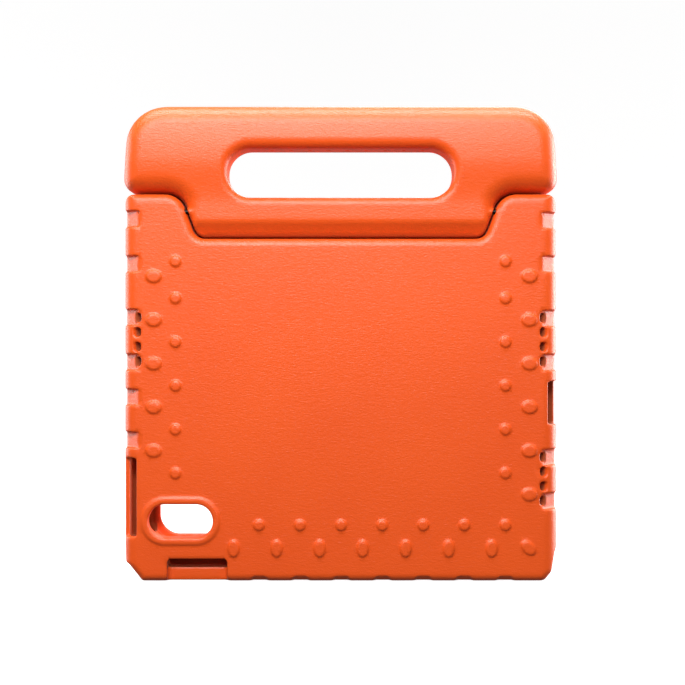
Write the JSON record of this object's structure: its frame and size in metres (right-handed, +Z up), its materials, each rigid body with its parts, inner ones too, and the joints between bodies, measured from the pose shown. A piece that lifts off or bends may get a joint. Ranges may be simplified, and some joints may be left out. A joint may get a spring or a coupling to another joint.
{
  "type": "tablet case",
  "caption": "Moulded foam tablet case for children, with a carry handle hinged along the top that swings back as a stand, a camera window and button, speaker and port openings.",
  "frame": {"origin": "middle of the case's base, under the middle of its width and thickness", "axes": "+X along the case, to the right as seen from its back; +Y from the back to the screen side; +Z up, from the base to the handle"},
  "size_m": [0.2846, 0.03, 0.311],
  "materials": {
    "eva_foam": "bright orange closed-cell EVA foam with a fine leather-like grain and a soft satin sheen",
    "nylon": "black moulded nylon",
    "steel": "drawn steel rod, satin",
    "ring_rubber": "matte black rubber"
  },
  "bodies": {
    "case": {"case_shell": "eva_foam", "shoulder_bush_left": "nylon", "shoulder_bush_right": "nylon", "friction_ring_left": "ring_rubber", "friction_ring_right": "ring_rubber"},
    "handle": {"handle": "eva_foam", "handle_sleeve": "nylon", "hinge_rod": "steel", "rod_cap_left": "steel", "rod_cap_right": "steel"}
  },
  "joints": [
    {"name": "handle_hinge", "type": "hinge", "parent": "case", "child": "handle", "pos_m": [0, -0.0085, 0.241], "axis": [1, 0, 0], "range_deg": [0, 135]}
  ]
}
